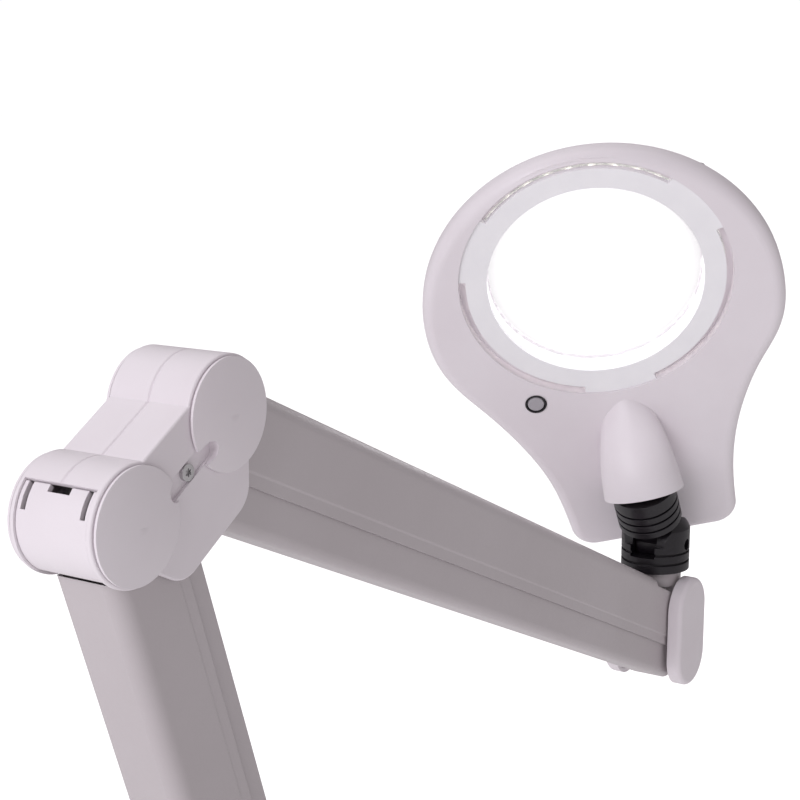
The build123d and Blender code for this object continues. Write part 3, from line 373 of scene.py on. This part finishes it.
def floor_material(name):
    """Pale seamless sheet, lit a little from below as on a light table."""
    material, tree, shader, place = start_material(name)
    fibres = noise(tree, place, 420.0, 3.0)
    clouds = noise(tree, place, 1.6, 3.0)
    colour = mix(tree, clouds, (0.93, 0.925, 0.93, 1), (0.91, 0.905, 0.91, 1))
    shader.inputs["Specular IOR Level"].default_value = 0.1
    shader.inputs["Emission Color"].default_value = (1.0, 0.99, 1.0, 1)
    seen = tree.nodes.new("ShaderNodeLightPath").outputs["Is Camera Ray"]
    glow = remap(tree, seen, 0.0, 1.0, FLOOR_GLOW, FLOOR_SEEN)
    tree.links.new(glow, shader.inputs["Emission Strength"])
    rough = remap(tree, fibres, 0.3, 0.7, 0.8, 0.95)
    set_shader(tree, shader, colour, rough, bump(tree, fibres, 0.05, 0.0002))
    return material


# ---- pieces --------------------------------------------------------------------------------------
def lens_axis():
    """Direction that the lens faces, from the flat of its mounting board."""
    board = nodes["led_board"].data
    largest = {}
    for face in board.polygons:
        key = tuple(round(c, 2) for c in face.normal)
        largest[key] = largest.get(key, 0.0) + face.area
    direction = Vector(max(largest, key=largest.get)).normalized()
    return direction if direction.x < 0 else -direction


def add_piece(name, mesh_builder, material, body):
    """A mesh made by a function that fills a bmesh, smooth shaded and riding on its body."""
    mesh = bpy.data.meshes.new(name)
    shape = bmesh.new()
    mesh_builder(shape)
    bmesh.ops.recalc_face_normals(shape, faces=shape.faces)
    shape.to_mesh(mesh)
    shape.free()
    for face in mesh.polygons:
        face.use_smooth = True
    mesh.materials.append(material)
    piece = bpy.data.objects.new(name, mesh)
    bpy.context.scene.collection.objects.link(piece)
    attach(piece, body)
    return piece


SPRING_PITCH = 2.5            # one turn to the next, in wire radii
STEPS_PER_TURN = 14
WIRE_SIDES = 6


def spring_coil(node, body, start_joint, end_joint, material):
    """Spring wound in place of its plain tube, with the tube's radii and length."""
    start = joint_point[start_joint]
    direction = (joint_point[end_joint] - start).normalized()
    offsets = [v.co - start for v in nodes[node].data.vertices]
    reach = [offset.dot(direction) for offset in offsets]
    radii = [(offset - direction * along).length for offset, along in zip(offsets, reach)]
    wire = (max(radii) - min(radii)) / 2
    coil_radius = max(radii) - wire
    begin, end = min(reach) + wire, max(reach) - wire
    turns = int((end - begin) / (wire * SPRING_PITCH))
    across = Vector((0, 1, 0))
    upright = direction.cross(across)

    def fill(shape):
        previous = None
        total = turns * STEPS_PER_TURN
        for step in range(total + 1):
            turn = 2 * math.pi * step / STEPS_PER_TURN
            outward = across * math.cos(turn) + upright * math.sin(turn)
            centre = start + direction * (begin + (end - begin) * step / total) + outward * coil_radius
            ring = []
            for side in range(WIRE_SIDES):
                angle = 2 * math.pi * side / WIRE_SIDES
                spoke = outward * math.cos(angle) + direction * math.sin(angle)
                ring.append(shape.verts.new(centre + spoke * wire))
            if previous:
                for side in range(WIRE_SIDES):
                    following = (side + 1) % WIRE_SIDES
                    shape.faces.new((previous[side], previous[following], ring[following], ring[side]))
            else:
                shape.faces.new(ring)
            previous = ring
        shape.faces.new(previous)

    piece = add_piece(f"{node}_coil", fill, material, body)
    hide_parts(node)
    return piece


# ---- studio --------------------------------------------------------------------------------------
FLOOR_GLOW = 0.20
FLOOR_SEEN = 0.85
FLOOR_REACH = 30.0
WORLD_LIGHT = (0.350, 0.336, 0.342)
WORLD_SEEN = (1.02, 1.02, 1.02)
FLOOR_DROP = 0.0005           # sheet below the lowest point of the object

KEY_OFFSET = Vector((-1.55, 0.10, 0.75))
KEY_AIM = Vector((0.2, 0, 0))
KEY_SIZE, KEY_POWER, KEY_COLOUR = 1.1, 17.0, (1.0, 0.985, 1.03)
TOP_OFFSET = Vector((0.1, 0.5, 1.9))
TOP_SIZE, TOP_POWER, TOP_COLOUR = 1.6, 7.0, (1.0, 0.99, 1.0)


def make_floor(material):
    mesh = bpy.data.meshes.new("studio_floor")
    shape = bmesh.new()
    bmesh.ops.create_grid(shape, x_segments=8, y_segments=8, size=FLOOR_REACH)
    shape.to_mesh(mesh)
    shape.free()
    mesh.materials.append(material)
    floor = bpy.data.objects.new("studio_floor", mesh)
    floor.location.z = cad_box[0].z - FLOOR_DROP
    bpy.context.scene.collection.objects.link(floor)


def make_world():
    """White seen behind the object, and a softer, slightly warm light from all round."""
    world = bpy.data.worlds.new("studio")
    bpy.context.scene.world = world
    world.use_nodes = True
    tree = world.node_tree
    tree.nodes.clear()
    output = tree.nodes.new("ShaderNodeOutputWorld")
    path = tree.nodes.new("ShaderNodeLightPath")
    seen = arithmetic(tree, "MAXIMUM", path.outputs["Is Camera Ray"], path.outputs["Is Transmission Ray"])
    colours = mix(tree, seen, (*WORLD_LIGHT, 1), (*WORLD_SEEN, 1))
    background = tree.nodes.new("ShaderNodeBackground")
    tree.links.new(colours, background.inputs["Color"])
    tree.links.new(background.outputs["Background"], output.inputs["Surface"])


def make_light(name, place, target, size, power, colour):
    lamp = bpy.data.lights.new(name, "AREA")
    lamp.shape = "SQUARE"
    lamp.size = size
    lamp.energy = power
    lamp.color = colour
    light = bpy.data.objects.new(name, lamp)
    light.location = place
    light.rotation_mode = "QUATERNION"
    light.rotation_quaternion = (target - place).to_track_quat("-Z", "Y")
    bpy.context.scene.collection.objects.link(light)


def make_camera():
    camera = bpy.data.cameras.new("camera")
    camera.lens = CAMERA_LENS
    camera.sensor_width = SENSOR
    camera.clip_start, camera.clip_end = CLIP_START, CLIP_END
    view = bpy.data.objects.new("camera", camera)
    view.location = CAMERA_PLACE
    view.rotation_mode = "QUATERNION"
    view.rotation_quaternion = CAMERA_FORWARD.to_track_quat("-Z", "Y")
    bpy.context.scene.collection.objects.link(view)
    bpy.context.scene.camera = view


# ---- assembly ------------------------------------------------------------------------------------
finishes = {
    "shell": moulded_plastic("shell_plastic", SHELL_PALE, SHELL_SHADE, SHELL_WORN, 0.36, 0.52),
    "arm_paint": powder_coat("arm_powder_coat", PAINT_PALE, PAINT_SHADE, PAINT_WORN, 0.34, 0.5),
    "clamp_paint": powder_coat("clamp_powder_coat", PAINT_PALE, PAINT_SHADE, PAINT_WORN, 0.38, 0.56),
    "black_plastic": black_plastic("joint_nylon"),
    "button_plastic": moulded_plastic("button_plastic", BUTTON_PALE, BUTTON_SHADE, SHELL_WORN, 0.3, 0.45),
    "steel": brushed_metal("plated_steel", STEEL_BRIGHT, STEEL_DULL, (1.0, 8.0, 1.0), 0.24, 0.42),
    "spring_steel": brushed_metal("spring_wire", WIRE_BRIGHT, WIRE_DULL, (1.0, 1.0, 6.0), 0.3, 0.5),
    "bush_plastic": bush_plastic("natural_acetal"),
    "pad_rubber": pad_rubber("pad_rubber"),
    "lens_glass": lens_glass("crown_glass"),
    "diffuser": opal_diffuser("opal_acrylic", GUIDE_GLOW),
    "board": board_mask("board_mask"),
    "led": led_phosphor("led_phosphor", LED_GLOW),
}

for node_name, part in nodes.items():
    part.data.materials.clear()
    part.data.materials.append(finishes[slot_of_node[node_name]])
nodes["lens_ring"].data.materials[0] = opal_diffuser("opal_ring", RING_GLOW)

spring_coil("lower_spring", "lower_arm", "lower_arm_hinge", "elbow_rear_hinge", finishes["spring_steel"])
spring_coil("upper_spring", "upper_arm", "upper_arm_hinge", "head_bracket_hinge", finishes["spring_steel"])

make_floor(floor_material("studio_sheet"))
make_world()
middle = (cad_box[0] + cad_box[1]) / 2
elbow_point = joint_point["elbow_rear_hinge"]
make_light("key", elbow_point + KEY_OFFSET, elbow_point + KEY_AIM, KEY_SIZE, KEY_POWER, KEY_COLOUR)
make_light("top", middle + TOP_OFFSET, middle, TOP_SIZE, TOP_POWER, TOP_COLOUR)
make_camera()
bpy.context.scene.view_settings.view_transform = "Standard"
